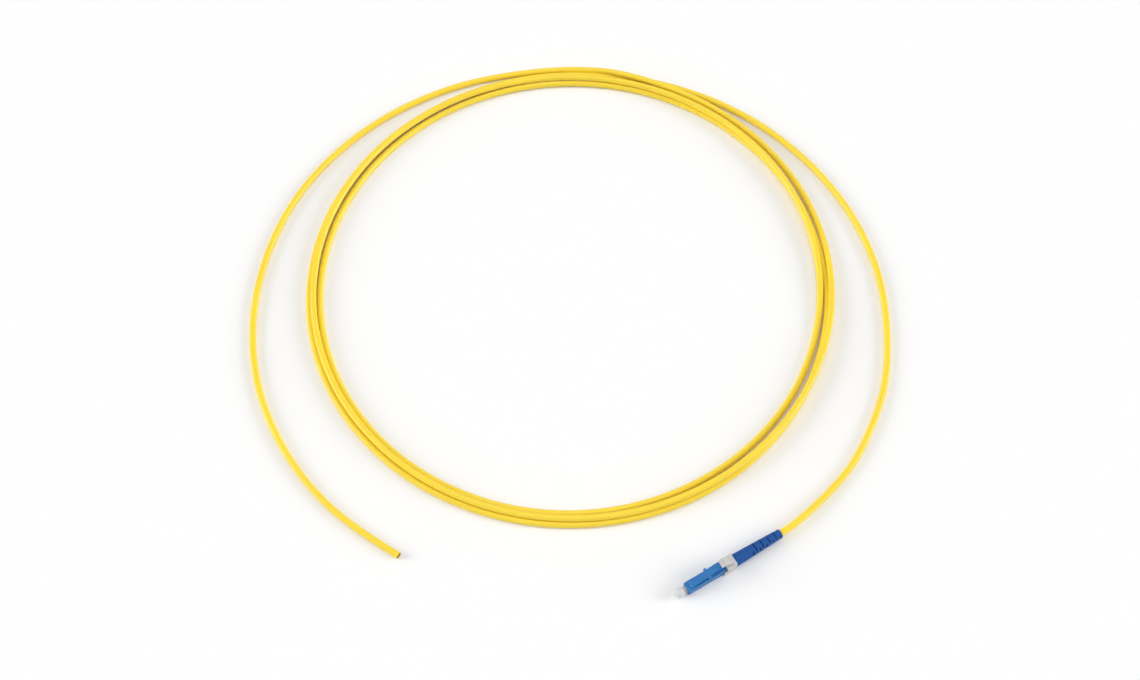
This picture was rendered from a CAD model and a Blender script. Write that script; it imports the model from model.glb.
"""Looks of a fiber pigtail: a small latched plug on a loose ring of yellow cable."""

import math

import bmesh
import bpy
from bpy.props import FloatProperty, FloatVectorProperty, PointerProperty
from mathutils import Matrix, Vector


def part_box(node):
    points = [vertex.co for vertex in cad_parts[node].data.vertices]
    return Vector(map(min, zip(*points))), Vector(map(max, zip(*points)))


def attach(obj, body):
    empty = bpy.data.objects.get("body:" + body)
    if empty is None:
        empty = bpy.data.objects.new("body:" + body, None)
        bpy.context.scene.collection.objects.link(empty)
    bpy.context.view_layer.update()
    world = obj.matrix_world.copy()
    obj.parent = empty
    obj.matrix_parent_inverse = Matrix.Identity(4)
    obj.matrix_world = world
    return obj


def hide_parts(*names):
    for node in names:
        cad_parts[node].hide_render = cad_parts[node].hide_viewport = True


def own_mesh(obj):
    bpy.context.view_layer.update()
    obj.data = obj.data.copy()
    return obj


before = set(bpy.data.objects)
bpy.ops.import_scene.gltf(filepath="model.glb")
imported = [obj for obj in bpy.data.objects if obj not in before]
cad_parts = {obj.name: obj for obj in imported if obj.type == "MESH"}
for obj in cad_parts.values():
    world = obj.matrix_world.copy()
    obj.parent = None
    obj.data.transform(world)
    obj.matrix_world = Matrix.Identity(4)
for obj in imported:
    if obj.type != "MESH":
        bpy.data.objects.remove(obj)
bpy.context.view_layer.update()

bl_info = {
    "name": "Fiber Pigtail",
    "version": (1, 0, 0),
    "blender": (4, 5, 0),
    "location": "3D View > Sidebar > Pigtail",
    "description": "Builds the cable, plug and stage of a fiber pigtail round its fixed frame",
    "category": "Object",
}

MM = 0.001

# The cable leaves the boot on the plug's axis. Points in plan, in millimetres.
AXIS_HEIGHT = 2.9
CABLE_START = 5.9
STRAIGHT_TO = 22           # the curve is straight in the boot
LEAD_ROUTE = [(35, 0), (61.5, 6), (79.5, 13), (107, 31.5), (126.5, 55), (141.5, 80.5),
              (150.5, 109), (153, 138), (150, 165.5), (142, 192.5), (127, 219.5)]
TAIL_ROUTE = [(82, 264), (56.5, 276), (29, 284.5), (0, 287), (-28, 284),
              (-56, 275), (-81, 260.5), (-103.5, 239.5), (-121, 215),
              (-133, 187), (-138, 158), (-137, 129), (-130, 101), (-118, 77)]

# Ring of three loose turns, with the radii of its centreline
RING_CENTRE = (16.5, 156.5)
RING_START = 45.0          # degrees from +X
POINTS_PER_TURN = 16
RADII_PER_TURN = 8
RING_RADII = [122.2, 121.0, 121.7, 123.3, 123.7, 123.3, 120.6, 118.5,
              116.8, 116.3, 116.85, 118.25, 118.85, 117.65, 116.8, 117.9,
              118.4, 119.05, 119.9, 120.75, 121.55, 121.95, 121.95, 123.0, 122.0]
FLOOR_TURNS = 1.8          # the rest lies on these
REST_GAP = 3.12            # between the centrelines of cables that touch
HUMP_RISE = (2.0, 3.2, 4.7)      # heights of the last points, over the lead
HUMP_FALL = (1.6, 1.5)           # and of the first points after the ring

# Smoothness of the cable, along it from one control point to the next and round its section
CURVE_STEPS = 14
ROUND_STEPS = 5

# Cut end of the cable
WALL = 0.55                # of the jacket
CUT_ROUND = 0.12
CUT_LENGTH = 1.0           # of the hollow stretch that shows the yarn's ends
CUT_SHADE = 0.42           # of the jacket's colour, where the cutter went through it
YARN_FLOOR = 0.8           # depth of the floor behind the bundles of yarn
YARN_ROOT = 0.85           # depth at which the bundles and the fibre start
YARN_ENDS = 16
YARN_SIZE = 0.15           # radius of a bundle
YARN_DEPTH = 0.1           # of the bundle that reaches farthest out
YARN_UNEVEN = 0.25         # how much deeper others end
YARN_ASIDE = 0.06          # how far they stand off their circle
UNEVEN_STEP = 7.3          # radians from one bundle to the next, for the depth
ASIDE_STEP = 5.1           # and for the place
BUFFER = 0.45              # radius of the coated fibre
BUFFER_DEPTH = 0.08
GLASS = 0.0625             # radius of the bare glass
GLASS_ROOT = 0.1
GLASS_DEPTH = 0.03

# Plain meshes of the frame become moulded ones. Corners closer than MERGE are joined, faces that
# meet flatter than FLAT become one, and edges sharper than EDGE are rounded.
MERGE = 0.0005 * MM
FLAT = math.radians(0.5)
EDGE = math.radians(32)
HOUSING_ROUND = 0.1 * MM
CLIP_ROUND = 0.12 * MM
BOOT_ROUND = 0.06 * MM
CAP_ROUND = 0.08 * MM

# Grey neck of the dust cap: where it starts before the housing, its soft edge and its shade
NECK_LENGTH = 1.6 * MM
NECK_BLUR = 0.8 * MM
NECK_SHADE = 0.7

# Size of the patterns in the surfaces
MOULD_CLOUDS = 3.0 * MM
MOULD_GRAIN = 0.16 * MM
RUBBER_CLOUDS = 4.0 * MM
RUBBER_GRAIN = 0.22 * MM
JACKET_CLOUDS = 22.0 * MM
JACKET_PEEL = 0.5 * MM
JACKET_STREAKS = (60.0, 26.0, 1.0)     # how many in the jacket's UV map, along and across
METAL_RINGS = 0.06 * MM
METAL_ACROSS = 2 * MM

# Colours of the pieces inside
STEEL = (0.56, 0.56, 0.58)
NICKEL = (0.66, 0.63, 0.58)
CERAMIC = (0.88, 0.87, 0.83)
BUFFER_COAT = (0.85, 0.85, 0.8)

# Stage, in metres, and the low light from the sides as angles: height and radius of its patch
FLOOR_REACH = 6.0
LAMP_PLACE = (0.0, 0.1, 3.0)
LAMP_SIZE = 2.8
PATCH_HEIGHT = math.radians(22)
PATCH_RADIUS = math.radians(22)


def srgb(red, green, blue):
    """Linear colour of a colour given in the 0 to 255 steps of a picture."""
    steps = []
    for value in (red, green, blue):
        share = value / 255
        steps.append(share / 12.92 if share <= 0.04045 else ((share + 0.055) / 1.055) ** 2.4)
    return tuple(steps)


# Settings

class PigtailCableSettings(bpy.types.PropertyGroup):
    """Sizes and colours of the cable."""
    diameter: FloatProperty(name="Diameter", description="Outer diameter of the jacket",
                            default=3.0 * MM, unit="LENGTH")
    length: FloatProperty(name="Length", description="Length from the crimp to the cut end",
                          default=3.02, unit="LENGTH")
    jacket: FloatVectorProperty(name="Jacket", description="Colour of the jacket",
                                default=srgb(247, 216, 60), subtype="COLOR", min=0, max=1)
    yarn: FloatVectorProperty(name="Yarn", description="Colour of the strength yarn",
                              default=srgb(140, 114, 36), subtype="COLOR", min=0, max=1)


class PigtailPlugSettings(bpy.types.PropertyGroup):
    """Colours of the plug's plastics."""
    housing: FloatVectorProperty(name="Housing", description="Colour of the housing and latch",
                                 default=srgb(47, 114, 177), subtype="COLOR", min=0, max=1)
    clip: FloatVectorProperty(name="Clip", description="Colour of the clip and trigger",
                              default=srgb(198, 196, 195), subtype="COLOR", min=0, max=1)
    boot: FloatVectorProperty(name="Boot", description="Colour of the strain relief",
                              default=srgb(23, 81, 150), subtype="COLOR", min=0, max=1)
    cap: FloatVectorProperty(name="Cap", description="Colour of the dust cap",
                             default=srgb(208, 209, 210), subtype="COLOR", min=0, max=1)


class PigtailStageSettings(bpy.types.PropertyGroup):
    """Where the camera stands and how bright the light is."""
    azimuth: FloatProperty(name="Azimuth", description="Direction of view, 0 looks along +Y",
                           default=math.radians(-31.407), subtype="ANGLE")
    elevation: FloatProperty(name="Elevation", description="Height of view over the floor",
                             default=math.radians(60.8), subtype="ANGLE")
    distance: FloatProperty(name="Distance", description="From the camera to its target",
                            default=0.7306, unit="LENGTH")
    target: FloatVectorProperty(name="Target", description="Point on the floor that is looked at",
                                default=(0.0, 0.1298, 0.0), subtype="XYZ", unit="LENGTH")
    lens: FloatProperty(name="Lens", description="Focal length in millimetres", default=50.0)
    sky: FloatProperty(name="Sky", description="Strength of the even light all round", default=0.46)
    sides: FloatProperty(name="Sides", description="Strength of the low light from left and right",
                         default=8.1)
    lamp: FloatProperty(name="Lamp", description="Power of the soft lamp overhead", default=21.0)


# Materials

class Value:
    """A node's output, whose arithmetic adds Math nodes."""

    def __init__(self, graph, socket):
        self.graph = graph
        self.socket = socket

    def math(self, operation, first, second):
        return self.graph.node("ShaderNodeMath", {"operation": operation}, {0: first, 1: second})

    def __add__(self, other):
        return self.math("ADD", self, other)

    def __sub__(self, other):
        return self.math("SUBTRACT", self, other)

    def __rsub__(self, other):
        return self.math("SUBTRACT", other, self)

    def __mul__(self, other):
        return self.math("MULTIPLY", self, other)

    __radd__ = __add__
    __rmul__ = __mul__


class Graph:
    """The nodes round one shader, of a material or of the sky."""

    def __init__(self, tree, shader):
        self.nodes = tree.nodes
        self.links = tree.links
        self.shader = tree.nodes[shader]

    def feed(self, name, value, node=None):
        """Sets or links a socket, of the shader unless a node is given."""
        socket = (node or self.shader).inputs[name]
        if isinstance(value, Value):
            self.links.new(value.socket, socket)
        else:
            socket.default_value = value

    def node(self, kind, settings=None, sockets=None, output=0):
        """Adds a node with its settings, then its sockets, and returns one output."""
        made = self.nodes.new(kind)
        for name, value in (settings or {}).items():
            setattr(made, name, value)
        for name, value in (sockets or {}).items():
            self.feed(name, value, made)
        return Value(self, made.outputs[output])


class Finish(Graph):
    """A material with one Principled shader."""

    def __init__(self, name, colour, roughness):
        self.material = bpy.data.materials.new(name)
        self.material.use_nodes = True
        super().__init__(self.material.node_tree, "Principled BSDF")
        self.feed("Base Color", (*colour, 1))
        self.feed("Roughness", roughness)

    def place(self, output="Object"):
        """Place on the piece, or in its UV map."""
        return self.node("ShaderNodeTexCoord", output=output)

    def noise(self, vector, scale, detail=2.0):
        """Clouds from 0 to 1, with a scale that is one over their size."""
        return self.node("ShaderNodeTexNoise", {}, {"Vector": vector, "Scale": scale, "Detail": detail})

    def stretched(self, vector, scale):
        """A place whose axes are scaled one by one."""
        return self.node("ShaderNodeMapping", {}, {"Vector": vector, "Scale": scale})

    def blend(self, share, first, second):
        """Colour between two, by a share from 0 to 1."""
        return self.node("ShaderNodeMix", {"data_type": "RGBA"},
                         {0: share, 6: first, 7: second}, output=2)

    def bump(self, height, distance, strength):
        """Small dents of the surface, up to a distance deep."""
        normal = self.node("ShaderNodeBump", {},
                           {"Height": height, "Distance": distance, "Strength": strength})
        self.feed("Normal", normal)


def shade(colour, level):
    """A colour made lighter or darker, with its alpha."""
    return (*[min(1.0, part * level) for part in colour], 1)


def moulded_plastic(name, colour):
    """Plastic from a spark-eroded mould: faint clouding and a fine even grain."""
    finish = Finish(name, colour, 0.46)
    place = finish.place()
    cloud = finish.noise(place, 1 / MOULD_CLOUDS)
    fine = finish.noise(place, 1 / MOULD_GRAIN, 3.0)
    finish.feed("Base Color", finish.blend(cloud, shade(colour, 0.93), shade(colour, 1.06)))
    finish.feed("Roughness", fine * 0.14 + 0.39)
    finish.bump(fine, 0.006 * MM, 0.6)
    finish.feed("Specular IOR Level", 0.22)
    return finish


def cap_finish(name, colour, seat):
    """Milky plastic, greyer at the thin neck beside the housing than at the thick head."""
    finish = Finish(name, colour, 0.42)
    along = finish.node("ShaderNodeSeparateXYZ", {}, {"Vector": finish.place()})
    depth = (along - (seat - NECK_LENGTH)) * (1 / NECK_BLUR)
    share = finish.node("ShaderNodeClamp", {}, {"Value": depth})
    finish.feed("Base Color", finish.blend(share, shade(colour, 1.0), shade(colour, NECK_SHADE)))
    finish.feed("Specular IOR Level", 0.3)
    return finish


def jacket_finish(colour):
    """Extruded jacket: streaks along the cable over a faint orange peel."""
    finish = Finish("jacket", colour, 0.42)
    along = finish.place("UV")
    streaks = finish.noise(finish.stretched(along, JACKET_STREAKS), 1.0, 3.0)
    peel = finish.noise(finish.place(), 1 / JACKET_PEEL)
    tone = finish.noise(finish.place(), 1 / JACKET_CLOUDS, 1.0)
    finish.feed("Base Color", finish.blend(tone, shade(colour, 0.95), shade(colour, 1.04)))
    finish.feed("Roughness", streaks * 0.16 + 0.33)
    finish.bump(streaks * 0.6 + peel * 0.4, 0.02 * MM, 0.5)
    finish.feed("Specular IOR Level", 0.4)
    return finish


def rubber_finish(name, colour):
    """Soft plastic with a dull skin and a fine grain."""
    finish = Finish(name, colour, 0.55)
    place = finish.place()
    fine = finish.noise(place, 1 / RUBBER_GRAIN, 3.0)
    cloud = finish.noise(place, 1 / RUBBER_CLOUDS)
    finish.feed("Base Color", finish.blend(cloud, shade(colour, 0.9), shade(colour, 1.08)))
    finish.feed("Roughness", fine * 0.16 + 0.46)
    finish.bump(fine, 0.01 * MM, 0.6)
    finish.feed("Specular IOR Level", 0.25)
    return finish


def metal_finish(name, colour, roughness):
    """Turned or drawn metal with fine rings round the plug's axis."""
    finish = Finish(name, colour, roughness)
    scale = (1 / METAL_RINGS, 1 / METAL_ACROSS, 1 / METAL_ACROSS)
    rings = finish.noise(finish.stretched(finish.place(), scale), 1.0)
    finish.feed("Metallic", 1.0)
    finish.feed("Roughness", rings * 0.2 + (roughness - 0.1))
    finish.bump(rings, 0.003 * MM, 0.5)
    return finish


# Pieces

def dress(node, finish):
    """Gives a piece of the frame its material."""
    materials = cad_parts[node].data.materials
    materials.clear()
    materials.append(finish.material)


def merged_copy(node):
    """The mesh of a piece of the frame, with its loose triangles joined."""
    shape = bmesh.new()
    shape.from_mesh(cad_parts[node].data)
    bmesh.ops.remove_doubles(shape, verts=shape.verts[:], dist=MERGE)
    return shape


def sharp_edges(shape):
    """Outer edges that are sharp enough to be rounded."""
    return [e for e in shape.edges if e.is_manifold and e.is_convex and e.calc_face_angle() > EDGE]


def rounded(name, node, body, finish, width):
    """A moulded piece in place of a plain one: merged, its outer edges rounded, smooth."""
    shape = merged_copy(node)
    bmesh.ops.dissolve_limit(shape, angle_limit=FLAT, verts=shape.verts[:], edges=shape.edges[:],
                             use_dissolve_boundaries=False)
    bmesh.ops.recalc_face_normals(shape, faces=shape.faces[:])
    bmesh.ops.bevel(shape, geom=sharp_edges(shape), offset=width, offset_type="OFFSET",
                    segments=2, profile=0.5, affect="EDGES", clamp_overlap=True, material=-1)
    return mesh_piece(name, shape, body, finish, (node,))


def pushed_together(name, node, finish):
    """A copy of an inner piece that is pushed together as the ferrule goes back."""
    shape = merged_copy(node)
    bmesh.ops.recalc_face_normals(shape, faces=shape.faces[:])
    piece = mesh_piece(name, shape, "plug", finish, (node,))
    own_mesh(piece)


def mesh_piece(name, shape, body, finish, nodes=()):
    """An object from a bmesh, smooth up to an angle, on the body that carries it."""
    for face in shape.faces:
        face.smooth = True
    for edge in shape.edges:
        edge.smooth = not (edge.is_manifold and edge.calc_face_angle() > EDGE)
    data = bpy.data.meshes.new(name)
    shape.to_mesh(data)
    shape.free()
    data.materials.append(finish.material)
    piece = bpy.data.objects.new(name, data)
    bpy.context.scene.collection.objects.link(piece)
    even = piece.modifiers.new("even", "WEIGHTED_NORMAL")
    even.keep_sharp = True
    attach(piece, body)
    if nodes:
        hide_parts(*nodes)
    return piece


def frame_at(origin, direction):
    """Matrix that sets local +Z along a direction on the floor, with its origin at a point."""
    turn = Vector(direction).to_track_quat("Z", "Y").to_matrix().to_4x4()
    return Matrix.Translation(Vector(origin)) @ turn


def add_rod(shape, matrix, radius, start, end, sides):
    """Adds a short round bar along the matrix's +Z."""
    middle = matrix @ Matrix.Translation((0, 0, (start + end) / 2))
    bmesh.ops.create_cone(shape, cap_ends=True, segments=sides, radius1=radius, radius2=radius,
                          depth=end - start, matrix=middle)


def add_ring(shape, matrix, outline, sides=48):
    """Adds a ring turned about the matrix's +Z from (radius, height) points."""
    verts = [shape.verts.new(matrix @ Vector((radius, 0, height))) for radius, height in outline]
    edges = [shape.edges.new(pair) for pair in zip(verts, verts[1:] + verts[:1])]
    bmesh.ops.spin(shape, geom=verts + edges, cent=matrix.translation, axis=matrix.col[2].to_3d(),
                   angle=math.tau, steps=sides, use_merge=True, use_duplicate=False)


def ring_radius(k):
    """Radius at a point of the ring, on a smooth curve through the list of radii."""
    share = k * RADII_PER_TURN / POINTS_PER_TURN
    low = min(int(share), len(RING_RADII) - 2)
    t = share - low
    start = RING_RADII[low]
    end = RING_RADII[low + 1]
    before = RING_RADII[max(low - 1, 0)]
    after = RING_RADII[min(low + 2, len(RING_RADII) - 1)]
    return 0.5 * (2 * start + (end - before) * t + (2 * before - 5 * start + 4 * end - after) * t ** 2
                  + (3 * start - before - 3 * end + after) * t ** 3)


def rest_height(k, radii, radius):
    """Height of a point of the ring, which lies on the floor or on the turns below it."""
    height = radius
    if k > FLOOR_TURNS * POINTS_PER_TURN:
        for below in (k - POINTS_PER_TURN, k - 2 * POINTS_PER_TURN):
            aside = abs(radii[k] - radii[below])
            if below < FLOOR_TURNS * POINTS_PER_TURN and aside < REST_GAP:
                height = max(height, radius + math.sqrt(REST_GAP ** 2 - aside ** 2))
    return height


def ring_points(radius):
    """Control points of the three turns."""
    count = (len(RING_RADII) - 1) * POINTS_PER_TURN // RADII_PER_TURN + 1
    step = 360 / POINTS_PER_TURN
    overhang = 1 / math.cos(math.radians(step / 2))      # the curve cuts inside its points
    radii = [ring_radius(k) for k in range(count)]
    points = []
    for k in range(count):
        angle = math.radians(RING_START + step * k)
        height = rest_height(k, radii, radius)
        if k >= count - len(HUMP_RISE):
            height = max(height, HUMP_RISE[k - count])
        points.append((RING_CENTRE[0] + radii[k] * overhang * math.cos(angle),
                       RING_CENTRE[1] + radii[k] * overhang * math.sin(angle), height))
    return points


def cable_points(radius):
    """Control points of the whole cable, in millimetres."""
    points = [(CABLE_START, 0, AXIS_HEIGHT), (STRAIGHT_TO, 0, AXIS_HEIGHT),
              (*LEAD_ROUTE[0], AXIS_HEIGHT)]
    points += [(x, y, radius) for x, y in LEAD_ROUTE[1:]]
    points += ring_points(radius)
    falls = HUMP_FALL + (radius,) * (len(TAIL_ROUTE) - len(HUMP_FALL))
    points += [(x, y, height) for (x, y), height in zip(TAIL_ROUTE, falls)]
    last = Vector(points[-1])
    points[-1] = tuple(last - (last - Vector(points[-2])).normalized() * CUT_LENGTH)
    return points


def spline_object(name, points, bevel):
    """A smooth round bar along control points given in millimetres."""
    curve = bpy.data.curves.new(name, "CURVE")
    curve.dimensions = "3D"
    curve.bevel_depth = bevel
    curve.bevel_resolution = ROUND_STEPS
    curve.resolution_u = CURVE_STEPS
    curve.use_fill_caps = True
    line = curve.splines.new("NURBS")
    line.points.add(len(points) - 1)
    for point, (x, y, z) in zip(line.points, points):
        point.co = (x * MM, y * MM, z * MM, 1)
    line.order_u = 3
    line.use_endpoint_u = True
    piece = bpy.data.objects.new(name, curve)
    bpy.context.scene.collection.objects.link(piece)
    return piece


# Operators

class PIGTAIL_OT_cable(bpy.types.Operator):
    """Lay the cable from the boot, round its ring and out to the cut end"""
    bl_idname = "pigtail.cable"
    bl_label = "Lay Cable"

    def execute(self, context):
        settings = context.scene.pigtail_cable
        radius = settings.diameter / 2
        cable = spline_object("cable", cable_points(radius / MM), radius)
        jacket = jacket_finish(settings.jacket)
        cable.data.materials.append(jacket.material)
        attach(cable, "plug")
        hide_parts("cable_lead", "cable_coil", "cable_tail")
        self.cut_end(settings, radius, jacket)
        return {"FINISHED"}

    def cut_end(self, settings, radius, jacket):
        """Jacket's rim, ends of the yarn and the fibre, where the cable is cut off."""
        end = (*TAIL_ROUTE[-1], radius / MM)
        before = (*TAIL_ROUTE[-2], radius / MM)
        place = frame_at(Vector(end) * MM, Vector(end) - Vector(before))
        return [self.rim(settings, radius, place, jacket), self.yarn_ends(settings, radius, place),
                self.fibre_end(place)]

    def rim(self, settings, radius, place, jacket):
        """The jacket's last stretch, hollow and darker where the cutter went through it."""
        shape = bmesh.new()
        bore = radius - WALL * MM
        edge = CUT_ROUND * MM
        add_ring(shape, place, [(radius, -edge), (radius - edge / 2, 0), (bore + edge / 2, 0),
                                (bore, -edge), (bore, -CUT_LENGTH * MM), (radius, -CUT_LENGTH * MM)])
        bmesh.ops.recalc_face_normals(shape, faces=shape.faces[:])
        rim = mesh_piece("cut_rim", shape, "plug", jacket)
        rim.data.materials.append(Finish("jacket_cut", shade(settings.jacket, CUT_SHADE)[:3], 0.6).material)
        back = place.inverted()
        for face in rim.data.polygons:
            spot = back @ face.center
            if spot.to_2d().length < radius - edge / 4:
                face.material_index = 1
        return rim

    def yarn_ends(self, settings, radius, place):
        """Bundles of yarn cut off unevenly, over a dark floor."""
        shape = bmesh.new()
        bore = radius - WALL * MM
        middle = (bore + BUFFER * MM) / 2
        add_rod(shape, place, bore, -CUT_LENGTH * MM, -YARN_FLOOR * MM, sides=32)
        for k in range(YARN_ENDS):
            angle = math.tau * k / YARN_ENDS
            depth = (YARN_DEPTH + YARN_UNEVEN * math.sin(UNEVEN_STEP * k) ** 2) * MM
            aside = middle + YARN_ASIDE * MM * math.cos(ASIDE_STEP * k)
            spot = Matrix.Translation((aside * math.cos(angle), aside * math.sin(angle), 0))
            add_rod(shape, place @ spot, YARN_SIZE * MM, -YARN_ROOT * MM, -depth, sides=7)
        return mesh_piece("cut_yarn", shape, "plug", Finish("yarn_ends", settings.yarn, 0.75))

    def fibre_end(self, place):
        """The coated fibre with the glass standing out of it."""
        shape = bmesh.new()
        add_rod(shape, place, BUFFER * MM, -YARN_ROOT * MM, -BUFFER_DEPTH * MM, sides=24)
        add_rod(shape, place, GLASS * MM, -GLASS_ROOT * MM, -GLASS_DEPTH * MM, sides=12)
        finish = Finish("buffer_end", srgb(172, 150, 74), 0.4)
        return mesh_piece("cut_fibre", shape, "plug", finish)


class PIGTAIL_OT_housing(bpy.types.Operator):
    """Mould the housing and its latch"""
    bl_idname = "pigtail.housing"
    bl_label = "Mould Housing"

    def execute(self, context):
        blue = moulded_plastic("housing_plastic", context.scene.pigtail_plug.housing)
        rounded("housing_shell", "plug_housing", "plug", blue, HOUSING_ROUND)
        rounded("latch_arm", "latch", "latch_arm", blue, HOUSING_ROUND)
        return {"FINISHED"}


class PIGTAIL_OT_clip(bpy.types.Operator):
    """Mould the rear clip and its trigger"""
    bl_idname = "pigtail.clip"
    bl_label = "Mould Clip"

    def execute(self, context):
        white = moulded_plastic("clip_plastic", context.scene.pigtail_plug.clip)
        rounded("clip_shell", "rear_clip", "plug", white, CLIP_ROUND)
        rounded("trigger_tongue", "trigger", "trigger_arm", white, CLIP_ROUND)
        return {"FINISHED"}


class PIGTAIL_OT_boot(bpy.types.Operator):
    """Mould the slotted strain relief"""
    bl_idname = "pigtail.boot"
    bl_label = "Mould Boot"

    def execute(self, context):
        rubber = rubber_finish("boot_rubber", context.scene.pigtail_plug.boot)
        rounded("strain_boot", "boot", "plug", rubber, BOOT_ROUND)
        return {"FINISHED"}


class PIGTAIL_OT_cap(bpy.types.Operator):
    """Mould the dust cap"""
    bl_idname = "pigtail.cap"
    bl_label = "Mould Cap"

    def execute(self, context):
        milky = cap_finish("cap_plastic", context.scene.pigtail_plug.cap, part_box("plug_housing")[0].x)
        rounded("cap_body", "dust_cap", "cap", milky, CAP_ROUND)
        return {"FINISHED"}


class PIGTAIL_OT_inner(bpy.types.Operator):
    """Finish the pieces inside the plug"""
    bl_idname = "pigtail.inner"
    bl_label = "Finish Inner Pieces"

    def execute(self, context):
        steel = metal_finish("spring_steel", STEEL, 0.3)
        nickel = metal_finish("nickel", NICKEL, 0.32)
        ceramic = Finish("ceramic", CERAMIC, 0.12)
        buffer = Finish("buffer_plastic", BUFFER_COAT, 0.35)
        yarn = Finish("yarn", context.scene.pigtail_cable.yarn, 0.7)
        wanted = {"rear_body": nickel, "ferrule_flange": nickel, "crimp_sleeve": nickel,
                  "ferrule": ceramic, "glass_fibre": buffer, "guide_tube": buffer,
                  "aramid_yarn": yarn}
        for node, finish in wanted.items():
            dress(node, finish)
        pushed_together("coil_spring", "spring", steel)
        pushed_together("coated_fibre", "fibre_buffer", buffer)
        return {"FINISHED"}


class PIGTAIL_OT_stage(bpy.types.Operator):
    """Set up the floor, the light and the camera"""
    bl_idname = "pigtail.stage"
    bl_label = "Set Stage"

    def execute(self, context):
        settings = context.scene.pigtail_stage
        context.scene.view_settings.view_transform = "Standard"
        self.add_floor()
        self.add_sky(context, settings)
        self.add_lamp(context, settings.lamp)
        self.add_camera(context, settings)
        return {"FINISHED"}

    def add_floor(self):
        """A large pale sheet under everything."""
        shape = bmesh.new()
        bmesh.ops.create_grid(shape, x_segments=1, y_segments=1, size=FLOOR_REACH)
        data = bpy.data.meshes.new("floor")
        shape.to_mesh(data)
        shape.free()
        floor = bpy.data.objects.new("floor", data)
        bpy.context.scene.collection.objects.link(floor)
        finish = Finish("floor", (0.92, 0.92, 0.92), 0.9)
        finish.feed("Specular IOR Level", 0.1)
        data.materials.append(finish.material)

    def add_sky(self, context, settings):
        """Even light with two low soft patches at the picture's left and right."""
        world = bpy.data.worlds.new("studio")
        context.scene.world = world
        world.use_nodes = True
        sky = Graph(world.node_tree, "Background")
        sky.feed("Color", (1, 1, 1, 1))
        ray = sky.node("ShaderNodeTexCoord")
        right = (math.cos(settings.azimuth), math.sin(settings.azimuth), 0)
        across = sky.node("ShaderNodeVectorMath", {"operation": "DOT_PRODUCT"}, {0: ray, 1: right}, 1)
        aside = sky.node("ShaderNodeMath", {"operation": "ABSOLUTE"}, {0: across})
        height = sky.node("ShaderNodeSeparateXYZ", {}, {"Vector": ray}, "Z")
        facing = aside * math.cos(PATCH_HEIGHT) + height * math.sin(PATCH_HEIGHT)
        rim = math.cos(PATCH_RADIUS)
        share = sky.node("ShaderNodeClamp", {}, {"Value": (facing - rim) * (1 / (1 - rim))})
        seen = sky.node("ShaderNodeLightPath", output="Is Camera Ray")
        sky.feed("Strength", (share * settings.sides + settings.sky) * (1 - seen) + seen)

    def add_lamp(self, context, strength):
        """A wide round lamp overhead, which softens the shadows."""
        lamp = bpy.data.lights.new("overhead", "AREA")
        lamp.shape = "DISK"
        lamp.size = LAMP_SIZE
        lamp.energy = strength
        holder = bpy.data.objects.new("overhead", lamp)
        holder.location = LAMP_PLACE
        context.scene.collection.objects.link(holder)

    def add_camera(self, context, settings):
        """The camera on its arm round the target, looking at it."""
        camera = bpy.data.cameras.new("camera")
        camera.lens = settings.lens
        camera.sensor_width = 36.0
        camera.clip_start = 0.01
        camera.clip_end = 50.0
        holder = bpy.data.objects.new("camera", camera)
        level = math.cos(settings.elevation)
        back = Vector((math.sin(settings.azimuth) * level, -math.cos(settings.azimuth) * level,
                       math.sin(settings.elevation)))
        holder.location = Vector(settings.target) + back * settings.distance
        holder.rotation_euler = (-back).to_track_quat("-Z", "Y").to_euler()
        context.scene.collection.objects.link(holder)
        context.scene.camera = holder


class PIGTAIL_PT_panel(bpy.types.Panel):
    """Buttons for each group of pieces"""
    bl_idname = "PIGTAIL_PT_panel"
    bl_label = "Fiber Pigtail"
    bl_space_type = "VIEW_3D"
    bl_region_type = "UI"
    bl_category = "Pigtail"

    def draw(self, context):
        for group in (context.scene.pigtail_cable, context.scene.pigtail_plug,
                      context.scene.pigtail_stage):
            box = self.layout.box()
            for name in group.bl_rna.properties.keys():
                if name not in ("rna_type", "name"):
                    box.prop(group, name)
        for operator in OPERATORS:
            self.layout.operator(operator.bl_idname)


SETTINGS = {"pigtail_cable": PigtailCableSettings, "pigtail_plug": PigtailPlugSettings,
            "pigtail_stage": PigtailStageSettings}
OPERATORS = [PIGTAIL_OT_cable, PIGTAIL_OT_housing, PIGTAIL_OT_clip, PIGTAIL_OT_boot, PIGTAIL_OT_cap,
             PIGTAIL_OT_inner, PIGTAIL_OT_stage]


def register():
    for name, group in SETTINGS.items():
        bpy.utils.register_class(group)
        setattr(bpy.types.Scene, name, PointerProperty(type=group))
    for operator in OPERATORS:
        bpy.utils.register_class(operator)
    bpy.utils.register_class(PIGTAIL_PT_panel)


def unregister():
    bpy.utils.unregister_class(PIGTAIL_PT_panel)
    for operator in reversed(OPERATORS):
        bpy.utils.unregister_class(operator)
    for name, group in SETTINGS.items():
        delattr(bpy.types.Scene, name)
        bpy.utils.unregister_class(group)


def main():
    register()
    bpy.ops.pigtail.cable()
    bpy.ops.pigtail.housing()
    bpy.ops.pigtail.clip()
    bpy.ops.pigtail.boot()
    bpy.ops.pigtail.cap()
    bpy.ops.pigtail.inner()
    bpy.ops.pigtail.stage()


if __name__ == "__main__":
    main()
